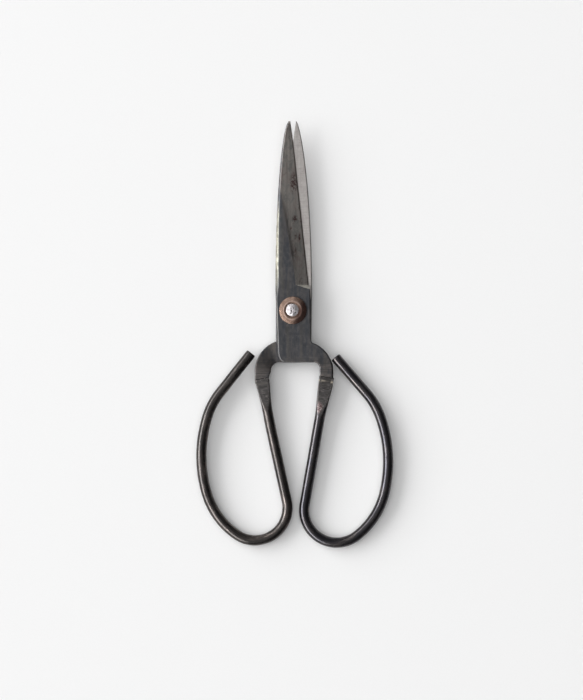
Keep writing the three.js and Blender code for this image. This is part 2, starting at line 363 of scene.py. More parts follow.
def blade_mesh(name, half, rear, dents, stains, seed):
    left, right, depth = blade_rails(half)
    width = np.linalg.norm(right - left, axis=1)
    shrink = np.minimum(1, width / 7)[:, None]
    low = EDGE_SAMPLES[None] * shrink
    inner_low, inner_high = low[:, -1:], width[:, None] - low[:, -1:]
    middle = lerp(inner_low, inner_high, np.linspace(0, 1, FACE_SAMPLES + 2)[None, 1:-1])
    across = np.hstack([low, middle, width[:, None] - low[:, ::-1]])
    direction = (right - left) / np.maximum(width, 1e-9)[:, None]
    points = left[:, None] + direction[:, None] * across[..., None]
    x, y = points[..., 0], points[..., 1]
    from_left, from_right = rail_distance(points, left), rail_distance(points, right)
    deep = depth[:, None]
    in_blade = step(y, HEEL_Y - HEEL_BLEND, HEEL_Y) * (deep == 0)

    # how far the outer face drops at the spine, at the right side and over the ground bevel
    arm = step(-y, -HEEL_BOTTOM_Y - 5, -HEEL_BOTTOM_Y + 4)
    chamfer = lerp(lerp(TANG_CHAMFER, ARM_CHAMFER, arm), spine_chamfer(y), step(y, 4, 12))
    chamfer = np.minimum(chamfer, 0.3 * width[:, None])
    soft = lerp(0.07, 0.3, step(y, 6, 14))
    drop_left = lerp(soft_positive(chamfer - from_left, soft), rounded(from_left, chamfer), arm)
    round_right = lerp(0.45, 0.85, step(-y, -TANG_FOOT_Y - 2, 24))
    drop_right = rounded(from_right, round_right) * (1 - in_blade)
    edge = edge_x(half["edge"], y)
    ridge = ridge_x(half, y)
    fall = thickness(y) - EDGE_LAND
    micro = MICRO_RISE * np.minimum(1, fall / 2)
    honed = np.minimum(MICRO_BEVEL, 0.25 * (edge - ridge))
    main = soft_positive((x - ridge) / np.maximum(edge - honed - ridge, 1e-3), 0.01)
    bevel = np.minimum(main, 1) * (fall - micro)
    bevel += micro * np.clip((x - edge + honed) / np.maximum(honed, 1e-3), 0, 1)
    ledge_top = LEDGE_Y - LEDGE_RISE * np.clip((x - RIDGE["x"]) / LEDGE_RUN, 0, 1)
    ledge = (y - ledge_top) / np.maximum(LEDGE_Y + 0.06 - ledge_top, 0.06)
    ledge = np.clip(ledge, 0, 1) * (x > RIDGE["x"] - 9 * (y > LEDGE_Y))
    bevel = bevel * ledge * (deep == 0) * (y > HEEL_Y - 0.3)
    bare = np.clip(bevel / BEVEL_SHOWS, 0, 1)

    outer = lerp(FILM + thickness(y), BAR_RADIUS, deep)
    inner = lerp(FILM, -BAR_RADIUS, deep)
    solid = np.concatenate([points, np.zeros_like(x)[..., None]], -1)
    forged = ripple(solid, (7, 11, 7), seed) * 0.05 + ripple(solid, (2.2, 3.1, 2), seed + 1) * 0.014
    ground = ripple(solid, (3, 30, 3), seed + 2) * 0.012
    relief = lerp(forged, ground, bare) - 0.05
    relief *= np.clip(np.minimum(from_left, from_right) / 0.8, 0, 1)
    for dent_x, dent_y, radius, dent in dents:
        away = ((x - dent_x) / radius) ** 2 + ((y - dent_y) / (1.6 * radius)) ** 2
        relief -= dent * np.exp(-away)
    top = outer - np.maximum(drop_left, np.maximum(drop_right, bevel)) + relief
    under = lerp(0.42, 0.6, deep)
    rise = np.maximum(rounded(from_left, under), rounded(from_right, lerp(0.5, 0.02, in_blade)))
    bottom = inner + rise + 0.012 * (1 + ripple(solid, (6, 9, 6), seed + 3))
    bottom = np.minimum(bottom, top - THINNEST)

    # one ring a section: over the outer face, down the right wall, back under, up the left wall
    def wall(side, first, last):
        share = WALL_SAMPLES[None, :]
        z = lerp(first[:, None], last[:, None], share)
        flat = np.broadcast_to(side[:, None], (len(side), len(WALL_SAMPLES), 2))
        return np.concatenate([flat, z[..., None]], -1)

    over = np.concatenate([points, top[..., None]], -1)
    below = np.concatenate([points, bottom[..., None]], -1)[:, ::-1]
    rings = np.concatenate(
        [over, wall(right, top[:, -1], bottom[:, -1]), below, wall(left, bottom[:, 0], top[:, 0])],
        axis=1,
    )

    def spread(outer_values, inner_values, wall_values):
        shape = (len(left), len(WALL_SAMPLES))
        side = np.broadcast_to(np.asarray(wall_values, float), shape)
        return np.concatenate([outer_values, side, inner_values[:, ::-1], side], axis=1)

    chamfered = step(chamfer + 0.4 - from_left, 0, 0.7)
    chamfered = np.maximum(chamfered, 0.13 * (1 - step(from_left - chamfer, 0, 2.8)))
    clean = lerp(0.1, 1.0, step(y, 7, 19)) * lerp(1, 0.0, step(y, 36, 52)) * (1 - arm)
    on_ledge = (ledge > 0.02) * (ledge < 0.98) * (x > RIDGE["x"]) * (y < LEDGE_Y + 0.1)
    inside = step(y, 4, 9) * step(from_left, 0.16, 0.3)
    veil = step(ridge - x, -1.9, -0.2) * step(y, 15, 25) * (1 - step(y, 42, 55)) * bare
    stained = np.zeros_like(x)
    for stain_x, stain_y, stain_wide, stain_tall in stains:
        away = ((x - stain_x) / stain_wide) ** 2 + ((y - stain_y) / stain_tall) ** 2
        stained = np.maximum(stained, np.exp(-away))
    attributes = {
        "bare": spread(bare, inside, 0.35 * step(left[:, 1], 0, 12)[:, None]),
        "worn": spread(chamfered * clean, 0 * x, 0),
        "ledge": spread(on_ledge * 1.0, 0 * x, 0),
        "stain": spread(stained, 0 * x, 0),
        "veil": spread(veil, 0 * x, 0),
        "reach": spread(along(y), along(y), along(left[:, 1])[:, None]),
        "inside": spread(0 * x, inside, 0),
        "arm": spread(arm * np.ones_like(x), arm * np.ones_like(x), arm[:, :1] * 1.0),
        # the honed strip along the cutting edge, which is painted darker: painted shade
        "edge": spread((from_right < 1.0 * honed) * in_blade, 0 * x, 0),
    }
    return skin(name, rings, attributes, rear)


def drilled(piece):
    """Takes the rivet's hole out of a blade."""
    sides = 64
    turn = np.linspace(0, 2 * math.pi, sides, endpoint=False)
    circle = np.stack([HOLE_RADIUS * np.cos(turn), HOLE_RADIUS * np.sin(turn)], -1)
    rings = np.stack([np.c_[circle, np.full(sides, z)] for z in (-PLATE * 2, PLATE * 2)])
    drill = skin("drill", rings, {})
    cut = piece.modifiers.new("hole", "BOOLEAN")
    cut.operation = "DIFFERENCE"
    cut.solver = "EXACT"
    cut.object = drill
    bpy.context.view_layer.update()
    shaped = bpy.data.meshes.new_from_object(
        piece.evaluated_get(bpy.context.evaluated_depsgraph_get())
    )
    piece.modifiers.clear()
    piece.data = shaped
    bpy.data.objects.remove(drill)
    shade_smooth(shaped, SHARP_FROM)
    return piece


# ---------------------------------------------------------------- handle bars

def bar_path(half, runs):
    """Points and headings on a bar's centreline at distances runs from the weld."""
    weld = half["weld"]
    x, y, heading, start = weld["x"], weld["y"], math.radians(weld["heading"]), 0.0
    points, headings = np.zeros((len(runs), 2)), np.zeros(len(runs))
    for piece in [*half["leg"], *BOW, half["freeLeg"]]:
        radius, turn = piece if isinstance(piece, tuple) else (None, 0)
        length = abs(math.radians(turn)) * radius if radius else piece
        here = runs >= start - 1e-9
        gone = np.clip(runs[here] - start, 0, length)
        if radius:
            side = math.copysign(1, turn)
            angle = heading + side * gone / radius
            points[here, 0] = x + side * radius * (np.sin(angle) - math.sin(heading))
            points[here, 1] = y - side * radius * (np.cos(angle) - math.cos(heading))
            headings[here] = angle
            end = heading + side * length / radius
            x += side * radius * (math.sin(end) - math.sin(heading))
            y -= side * radius * (math.cos(end) - math.cos(heading))
            heading = end
        else:
            points[here, 0] = x + gone * math.cos(heading)
            points[here, 1] = y + gone * math.sin(heading)
            headings[here] = heading
            x += length * math.cos(heading)
            y += length * math.sin(heading)
        start += length
    return points, headings


def bar_length(half):
    bows = sum(radius * math.radians(turn) for radius, turn in BOW)
    legs = sum(abs(math.radians(p[1])) * p[0] if isinstance(p, tuple) else p for p in half["leg"])
    return legs + bows + half["freeLeg"]


BAR_SIDES = 48
DRAWN_RADIUS = 2.4  # to the corners of the CAD's bar; BAR_RADIUS is to its flats
END_CHAMFER = 0.4
# A bar's end sections and their sizes: at distances from the weld, and at so many chamfers before
# the free end
WELD_END = [(0.02, 0.02), (0.02, 0.5), (0.02, 0.86), (0.06, 0.93), (0.16, 0.97), (0.32, 0.995),
            (0.55, 1), (0.8, 1), (1.1, 1)]
FREE_END = [(1.2, 1), (1, 0.995), (0.66, 0.94), (0.33, 0.88), (0, 0.8), (0, 0.72), (0, 0.5),
            (0, 0.25), (0, 0.02)]
SCAB = dict(run=13.9, length=2.8, side=-0.28, width=0.36)  # the speckled patch on a bar


def bar_mesh(name, half, rear, seed):
    total = bar_length(half)
    weld = half["weld"]
    weld_runs, weld_sizes = np.array(WELD_END).T
    free_runs, free_sizes = np.array(FREE_END).T
    body = np.arange(1.4, total - END_CHAMFER - 0.2, 0.55)
    runs = np.r_[weld_runs, body, total - END_CHAMFER * free_runs]
    size = np.r_[weld_sizes, np.ones(len(body)), free_sizes][:, None]
    points, headings = bar_path(half, runs)
    flat = half["flat"]
    near_weld = 1 - step(runs, 0, weld["taper"])
    fitted = BAR_RADIUS / DRAWN_RADIUS
    half_width = lerp(BAR_RADIUS, weld["bar"] / 2 * fitted, near_weld)[:, None]
    squareness = 1 - step(runs, 0.35 * flat["run"], flat["run"])
    power = 2 / lerp(2, 7, squareness)[:, None]
    angle = (2 * math.pi * np.arange(BAR_SIDES) / BAR_SIDES)[None]
    cos, sin = np.cos(angle), np.sin(angle)
    side = half_width * np.sign(cos) * np.abs(cos) ** power
    rise = BAR_RADIUS * np.sign(sin) * np.abs(sin) ** power
    face = BAR_RADIUS - flat["depth"] * np.maximum(0, 1 - runs / flat["run"])[:, None] - 0.02
    flow = np.stack(np.broadcast_arrays(runs[:, None], BAR_RADIUS * cos, BAR_RADIUS * sin), -1)
    hammered = 0.035 * ripple(flow, (9, 3, 3), seed)
    hammered = hammered + 0.012 * ripple(flow, (2.5, 1.2, 1.2), seed + 1)
    lumps = (0.5 * ripple(flow, (1.3, 1.6, 1.6), seed + 2) + 0.2 * ripple(flow, 0.7, seed + 3))
    scab = np.exp(-(((runs - SCAB["run"]) / SCAB["length"]) ** 2))[:, None]
    scab = scab * np.exp(-(((cos - SCAB["side"]) / SCAB["width"]) ** 2))
    scab = scab * (sin * flat["side"] > -0.3) * half["scar"]["scab"]
    lumps = lumps * np.exp(-((runs / 2.6) ** 2))[:, None] * (0.35 + 0.65 * (sin < 0.55))
    lumps = lumps + scab * (0.12 * ripple(flow, 0.55, seed + 7) - 0.05)
    bulge = 1 + (np.minimum(hammered, 0.02) - 0.07 + np.clip(lumps, -0.6, 0.12)) / BAR_RADIUS
    side, rise = side * bulge, rise * bulge
    worn_face = face + 0.02 * ripple(flow, (3, 1.5, 1.5), seed + 4) - 0.02
    worn_face = worn_face + 0.035 * ripple(flow, (0.9, 1.1, 1.1), seed + 9)
    facing = rise * flat["side"]
    ground = np.clip((facing - worn_face) / 0.05 + 0.6, 0, 1) * (runs < flat["run"])[:, None]
    until = step(-runs, -0.75 * flat["run"], -0.6 * flat["run"])[:, None]
    ground = np.maximum(ground, step(facing, 0.1, 0.9) * until)
    rise = rise - flat["side"] * soft_positive(facing - worn_face, 0.05)
    side, rise = side * size, rise * size
    x = points[:, 0, None] - side * np.sin(headings)[:, None]
    y = points[:, 1, None] + side * np.cos(headings)[:, None]
    rings = np.stack([x, y, rise], -1)
    seam_line = 2.2 + 0.7 * ripple(flow * (0, 1, 1), 2.2, seed + 5) + 0.3 * ripple(flow, 0.8, seed)
    seam = np.exp(-(((runs[:, None] - seam_line) / 0.3) ** 2)) * ground
    seam = seam * np.clip(0.6 + 2 * ripple(flow, 0.9, seed + 6), 0, 1) * half["scar"]["seam"]
    outer_side = np.clip(cos * np.ones_like(rise), 0, 1)
    attributes = {
        "flow": flow,
        "bare": ground,
        "worn": seam,
        "scab": scab,
        "outer": outer_side * step(runs, 40, 70)[:, None],
        "heat": np.exp(-((runs / 6) ** 2))[:, None] * np.ones_like(rise),
        "cut": np.repeat((runs > total - 0.05)[:, None] * 1.0, BAR_SIDES, 1),
    }
    return skin(name, rings, attributes, rear)


# ---------------------------------------------------------------- rivet and washers

def turned(profile, sides):
    """Rings round the Z axis, one at each radius and height of a profile."""
    turn = 2 * math.pi * np.arange(sides) / sides
    radius, height = profile[:, 0, None], profile[:, 1, None]
    spun = (radius * np.cos(turn), radius * np.sin(turn), height + 0 * turn)
    return np.stack(np.broadcast_arrays(*spun), -1)


def fine(profile, spacing):
    """The same polyline with points no further apart than spacing."""
    out = [profile[0]]
    for a, b in zip(profile[:-1], profile[1:]):
        count = max(1, int(math.ceil(math.dist(a, b) / spacing)))
        out += [lerp(np.array(a), np.array(b), (i + 1) / count) for i in range(count)]
    return np.array(out)


HEAD = dict(height=1.1, rim=0.32)
HEAD_OFFSET = np.array([-0.22, 0.18])  # the peened head sits a little off the hinge axis
FACETS = 22
PITS = 12
RIVET_SIDES = 96
WASHER_SIDES = 128


def dome(radius, crown, rim, corner=0.75):
    """Profile of a head from its rim over its crown, as radius and height."""
    edge, pull, axis = (radius, rim), (corner * radius, crown), (0.02, crown)
    return bend(np.array(edge), np.array(pull), np.array(axis), np.linspace(0, 1, 40)[:, None])


def rivet_piece(name, seed):
    draw = np.random.default_rng(seed)
    top = RIVET_HI[2] - MIDDLE_Z
    under_head = top - HEAD["height"]
    crown = dome(HEAD_RADIUS - 0.04, HEAD["height"] - 0.02, HEAD["rim"])
    crown[:, 1] += under_head
    lower = dome(HEAD_RADIUS - 0.04, HEAD["height"] - 0.01, HEAD["rim"], corner=0.92)[::-1]
    lower[:, 1] = -(lower[:, 1] + under_head)
    shank = [
        (HEAD_RADIUS - 0.05, -top + HEAD["height"] - 0.1),
        (HEAD_RADIUS - 0.2, -top + HEAD["height"]),
        (SHANK_RADIUS, -top + HEAD["height"]),
        (SHANK_RADIUS, under_head),
        (HEAD_RADIUS - 0.22, under_head),
        (HEAD_RADIUS - 0.06, under_head + 0.12),
    ]
    profile = np.vstack([lower, fine(shank, 0.2), crown])

    # a facet is its plane's slope and how far out it starts; a pit is radius, angle, size and depth
    facets = []
    for _ in range(FACETS):
        lean, spin = draw.uniform(0.05, 0.55), draw.uniform(0, 2 * math.pi)
        facets.append((lean * math.cos(spin), lean * math.sin(spin),
                       draw.uniform(0.62, 0.92) * HEAD_RADIUS * lean * 0.55 + 0.01))
    pits = [(draw.uniform(0.1, 0.8) * HEAD_RADIUS, draw.uniform(0, 2 * math.pi),
             draw.uniform(0.2, 0.42), draw.uniform(0.08, 0.18)) for _ in range(PITS)]

    def near_pit(x, y, radius, spin, size):
        away = (x - radius * math.cos(spin)) ** 2 + (y - radius * math.sin(spin)) ** 2
        return np.exp(-away / size**2)

    def peened(rings):
        x, y, z = rings[..., 0], rings[..., 1], rings[..., 2]
        face = z > under_head + 0.2
        for slope_x, slope_y, reach in facets:
            plane = top + reach * 0.9 - (slope_x * x + slope_y * y)
            z = np.where(face, np.minimum(z, plane), z)
        for radius, spin, size, dent in pits:
            z = np.where(face, z - dent * near_pit(x, y, radius, spin, size), z)
        rough = ripple(rings, 0.8, 3) * 0.02
        z = np.where(np.abs(z) > under_head + 0.2, z - 0.02 + rough * np.sign(z), z)
        out = np.stack([x, y, np.clip(z, -top, top)], -1)
        out[..., :2] += HEAD_OFFSET * step(z, under_head - 0.1, under_head + 0.1)[..., None]
        return out

    rings = peened(turned(profile, RIVET_SIDES))
    x, y = rings[..., 0] - HEAD_OFFSET[0], rings[..., 1] - HEAD_OFFSET[1]
    # the head is darker in its pits
    pit_dark = np.zeros(x.shape)
    for radius, spin, size, _ in pits:
        pit_dark = np.maximum(pit_dark, near_pit(x, y, radius, spin, 0.8 * size))
    return skin(name, rings, {"pit_dark": pit_dark})


WASHER = dict(rim=0.5, crestRadius=4.05, crest=1.0, seatRadius=3.05, seat=0.75)


def washer_piece(name, rear, seed):
    seat_radius, crest_radius = WASHER["seatRadius"], WASHER["crestRadius"]
    seat, crest_height = WASHER["seat"], WASHER["crest"]
    rim = np.array([WASHER_RADIUS - 0.02, WASHER["rim"]])
    crest = np.array([crest_radius, crest_height - 0.01])
    cup = np.array([seat_radius, seat])
    slope_pull = np.array([lerp(WASHER_RADIUS, crest_radius, 0.45), crest_height - 0.25])
    cup_pull = np.array([seat_radius + 0.45, crest_height - 0.02])
    underside = [(HOLE_RADIUS, seat), (HOLE_RADIUS, 0), (WASHER_RADIUS - 0.15, 0),
                 (WASHER_RADIUS - 0.02, 0.12)]
    profile = np.vstack([
        fine(underside, 0.25),
        bend(rim, slope_pull, crest, np.linspace(0, 1, 30)[:, None]),
        bend(crest, cup_pull, cup, np.linspace(0, 1, 12)[1:, None]),
        fine([tuple(cup), (HOLE_RADIUS + 0.05, seat)], 0.25)[1:],
    ])

    def beaten(rings):
        out = rings.copy()
        away = np.hypot(rings[..., 0], rings[..., 1])
        dents = 0.07 * ripple(rings, 2.2, seed) + 0.02 * ripple(rings, 0.7, seed + 1)
        raised = step(rings[..., 2], 0.2, 0.5) * step(away, seat_radius, 3.5)
        out[..., 2] += raised * (dents - 0.07)
        wobble = 1 - 0.006 * (1 + ripple(rings, 3.0, seed + 2)) * step(away, 4.5, 6)
        out[..., :2] *= wobble[..., None]
        out[..., 2] += WASHER_FOOT
        return out

    rings = beaten(turned(profile, WASHER_SIDES))
    away = np.broadcast_to(profile[:, 0, None], rings.shape[:2])
    tall = np.broadcast_to(profile[:, 1, None], rings.shape[:2])
    # painted shade: marks the side away from the window, to the right and below, for darkening
    dim_side = step(rings[..., 0] - 0.35 * rings[..., 1], 0.5, 4.0) * (tall > 0.05)
    # painted shade in the gap between the rivet's head and the washer, deeper on the dim side
    gap_shade = np.exp(-(((away - seat_radius - 0.1) / 0.3) ** 2)) * (tall > 0.5)
    # the crest's ring, which is painted paler: a painted highlight
    crest_highlight = np.exp(-(((away - crest_radius - 0.05) / 0.3) ** 2)) * (tall > 0.5)
    attributes = {
        "gap_shade": gap_shade * lerp(0.4, 1.0, dim_side),
        # the crest's painted highlight
        "worn": crest_highlight,
        "shaded_side": dim_side,
    }
    return skin(name, rings, attributes, rear, looped=True, sharp_from=45)


# ---------------------------------------------------------------- materials

class Finish:
    """A procedural material, written down node by node."""

    def __init__(self, name):
        self.material = bpy.data.materials.new(name)
        self.material.use_nodes = True
        self.tree = self.material.node_tree
        self.shader = self.tree.nodes["Principled BSDF"]

    def node(self, kind, values=(), **settings):
        made = self.tree.nodes.new(kind)
        for key, value in settings.items():
            setattr(made, key, value)
        for key, value in dict(values).items():
            self.feed(made.inputs[key], value)
        return made

    def feed(self, socket, value):
        if isinstance(value, bpy.types.NodeSocket):
            self.tree.links.new(value, socket)
        elif isinstance(value, tuple) and len(value) == 3 and socket.type == "RGBA":
            socket.default_value = (*value, 1)
        else:
            socket.default_value = value

    def attribute(self, name, output="Fac"):
        return self.node("ShaderNodeAttribute", attribute_name=name).outputs[output]

    def place(self, *scale):
        """Object coordinates in millimetres, divided by the sizes given."""
        where = self.node("ShaderNodeTexCoord").outputs["Object"]
        return self.stretch(where, *[1000 / s for s in scale])

    def stretch(self, vector, *factors):
        made = self.node("ShaderNodeVectorMath", {0: vector, 1: factors}, operation="MULTIPLY")
        return made.outputs["Vector"]

    def noise(self, vector, detail=4, rough=0.55, distortion=0.0):
        values = {"Vector": vector, "Scale": 1.0, "Detail": detail, "Roughness": rough,
                  "Distortion": distortion}
        return self.node("ShaderNodeTexNoise", values).outputs["Fac"]

    def math(self, operation, a, b):
        return self.node("ShaderNodeMath", {0: a, 1: b}, operation=operation).outputs[0]

    def times(self, a, b):
        return self.math("MULTIPLY", a, b)

    def between(self, value, low, high, start=0.0, end=1.0):
        """Start below low, end above high, straight between."""
        values = {"Value": value, "From Min": low, "From Max": high, "To Min": start, "To Max": end}
        return self.node("ShaderNodeMapRange", values, clamp=True).outputs["Result"]

    def mix(self, share, a, b, blend="MIX"):
        made = self.node("ShaderNodeMix", data_type="RGBA", blend_type=blend)
        self.feed(made.inputs[0], share)
        self.feed(made.inputs[6], a)
        self.feed(made.inputs[7], b)
        return made.outputs[2]

    def shaded(self, colour, factor):
        """The colour with all three channels multiplied by the factor."""
        grey = self.node("ShaderNodeCombineColor", {0: factor, 1: factor, 2: factor}).outputs[0]
        return self.mix(1.0, colour, grey, "MULTIPLY")

    def blend(self, share, a, b):
        made = self.node("ShaderNodeMix", data_type="FLOAT")
        self.feed(made.inputs[0], share)
        self.feed(made.inputs[2], a)
        self.feed(made.inputs[3], b)
        return made.outputs[0]

    def finish(self, colour, roughness, height, depth_mm, metallic=1.0):
        self.feed(self.shader.inputs["Base Color"], colour)
        self.feed(self.shader.inputs["Roughness"], roughness)
        self.feed(self.shader.inputs["Metallic"], metallic)
        values = {"Height": height, "Distance": depth_mm * MM, "Strength": 1.0}
        self.feed(self.shader.inputs["Normal"], self.node("ShaderNodeBump", values).outputs[0])
        return self.material


SCALE_COOL, SCALE_WARM = (0.060, 0.065, 0.074), (0.098, 0.095, 0.087)
SCALE_PALE, SCALE_PIT = (0.125, 0.115, 0.112), (0.03, 0.03, 0.033)
BRUSHED_DARK, BRUSHED_PALE = (0.070, 0.064, 0.063), (0.155, 0.138, 0.130)
LEDGE_STEEL = (0.62, 0.60, 0.54)
# what lies over the bevel's steel, and over the inner face's
BEVEL_LINE, BEVEL_COOL, BEVEL_WARM = (0.22, 0.20, 0.185), (0.27, 0.275, 0.265), (0.34, 0.275, 0.26)
BEVEL_RUST, BEVEL_SCRATCH = (0.13, 0.085, 0.08), (0.13, 0.11, 0.10)
# the honed strip's dark colour along the cutting edge is painted shade, for the shadow where the
# blades meet
BEVEL_EDGE_SHADE = (0.12, 0.105, 0.095)
INNER_CLOUD, INNER_LINE = (0.46, 0.41, 0.40), (0.36, 0.33, 0.32)
INNER_SCRATCH, INNER_SPECK = (0.17, 0.145, 0.135), (0.24, 0.21, 0.20)


def blade_finish(name, oxide, oxide_light, ground, inside, worn):
    """Forge scale, the ground bevel, the inner face and the worn spine, by the mesh's masks."""
    f = Finish(name)
    bare, bright = f.attribute("bare"), f.attribute("worn")
    in_side, arm, edge = f.attribute("inside"), f.attribute("arm"), f.attribute("edge")
    ledge, stained = f.attribute("ledge"), f.attribute("stain")
    veil, reach = f.attribute("veil"), f.attribute("reach")
    blotch = f.noise(f.place(5.5, 9, 5.5), 5, 0.6, 0.6)
    mottle = f.noise(f.place(1.3, 1.8, 1.3), 4, 0.65)
    streak = f.noise(f.place(0.22, 14, 0.6), 3, 0.6)
    long_streak = f.noise(f.place(0.8, 40, 1.5), 4, 0.6)
    cross = f.noise(f.place(9, 0.35, 2), 3, 0.5)
    speck = f.noise(f.place(0.5, 0.6, 0.5), 2, 0.5)
    scratch = f.between(f.noise(f.place(2.6, 0.30, 2.6), 3, 0.6, 1.6), 0.63, 0.70)

    scale = f.mix(f.between(blotch, 0.35, 0.65), oxide, oxide_light)
    tinge = f.noise(f.place(1.7, 30, 1.7), 4, 0.6, 0.3)
    scale = f.mix(f.between(tinge, 0.40, 0.52, 0.75, 0.0), scale, SCALE_COOL)
    scale = f.mix(f.between(tinge, 0.52, 0.66, 0.0, 0.5), scale, SCALE_WARM)
    scale = f.mix(f.between(mottle, 0.48, 0.72, 0.0, 0.5), scale, SCALE_PALE)
    scale = f.mix(f.between(speck, 0.62, 0.75, 0.0, 0.35), scale, SCALE_PIT)
    brushed = f.mix(f.between(cross, 0.35, 0.65), BRUSHED_DARK, BRUSHED_PALE)
    scale = f.mix(f.times(arm, f.between(mottle, 0.3, 0.6)), scale, brushed)
    shade = f.between(long_streak, 0.3, 0.7, 0.68, 1.0)
    shade = f.times(shade, f.between(reach, 0.72, 1.0, 1.0, 1.75))
    shade = f.times(shade, f.between(reach, 0.05, 0.25, 1.18, 1.0))
    bevel = f.shaded(ground, shade)
    fine_lines = f.between(streak, 0.35, 0.65, 0.0, 0.35)
    bevel = f.mix(fine_lines, bevel, BEVEL_LINE)
    cloud = f.noise(f.place(2.6, 5, 2.6), 5, 0.68, 0.8)
    bevel = f.mix(f.between(cloud, 0.38, 0.50, 0.7, 0.0), bevel, BEVEL_COOL)
    bevel = f.mix(f.between(cloud, 0.54, 0.66, 0.0, 0.6), bevel, BEVEL_WARM)
    stain = f.between(f.noise(f.place(4.5, 9, 4.5), 5, 0.75, 1.2), 0.56, 0.68, 0.0, 0.8)
    stain = f.times(stain, f.between(mottle, 0.35, 0.6, 0.35, 1.0))
    spots = f.between(f.noise(f.place(1.0, 1.5, 1.0), 4, 0.7, 0.6), 0.40, 0.56, 0.1, 1.0)
    stain = f.math("MAXIMUM", stain, f.times(f.between(stained, 0.1, 0.7), spots))
    bevel = f.mix(stain, bevel, BEVEL_RUST)
    bevel = f.mix(f.times(scratch, 0.3), bevel, BEVEL_SCRATCH)
    # the honed strip along the cutting edge is painted darker: painted shade
    bevel = f.mix(f.times(edge, 0.7), bevel, BEVEL_EDGE_SHADE)
    bevel = f.mix(f.times(veil, f.between(cloud, 0.35, 0.6, 0.95, 0.6)), bevel, scale)
    colour = f.mix(bare, scale, bevel)
    flat = f.shaded(inside, f.between(long_streak, 0.3, 0.7, 0.92, 1.06))
    flat = f.mix(f.between(cloud, 0.45, 0.62, 0.0, 0.55), flat, INNER_CLOUD)
    flat = f.mix(f.between(cross, 0.42, 0.7, 0.0, 0.34), flat, INNER_LINE)
    flat = f.mix(f.times(scratch, f.between(reach, 0.3, 0.9, 0.35, 0.75)), flat, INNER_SCRATCH)
    flat = f.mix(f.between(speck, 0.66, 0.78, 0.0, 0.5), flat, INNER_SPECK)
    colour = f.mix(in_side, colour, flat)
    bright_part = f.times(bright, f.between(mottle, 0.25, 0.5, 0.55, 1.0))
    aged = f.mix(f.between(cloud, 0.42, 0.58), worn, tuple(0.5 * c for c in worn))
    colour = f.mix(bright_part, colour, aged)
    colour = f.mix(f.times(ledge, f.between(mottle, 0.3, 0.6, 0.6, 1.0)), colour, LEDGE_STEEL)

    rough = f.blend(bare, f.between(mottle, 0.3, 0.7, 0.40, 0.58),
                    f.between(streak, 0.3, 0.7, 0.34, 0.46))
    rough = f.blend(bright, rough, 0.45)
    lines = f.math("ADD", f.times(streak, 0.35), f.times(cross, 0.12))
    grain = f.blend(f.math("MAXIMUM", bare, in_side), mottle, lines)
    height = f.math("ADD", grain, f.times(speck, -0.35))
    return f.finish(colour, rough, height, 0.03)


BAR_SPECK = (0.02, 0.019, 0.02)
FACE_DARK, FACE_PALE = (0.066, 0.063, 0.063), (0.125, 0.117, 0.115)
FACE_MOTTLE, FACE_SPECK = (0.050, 0.046, 0.045), (0.34, 0.31, 0.29)
SCORCH_DARK, SCORCH_PALE = (0.055, 0.048, 0.046), (0.17, 0.155, 0.15)
CRUST_DARK, CRUST_PALE = (0.07, 0.035, 0.037), (0.42, 0.36, 0.35)
SAWN_DARK, SAWN_PALE = (0.17, 0.155, 0.15), (0.36, 0.34, 0.33)
WELD_SEAM = (0.62, 0.55, 0.44)


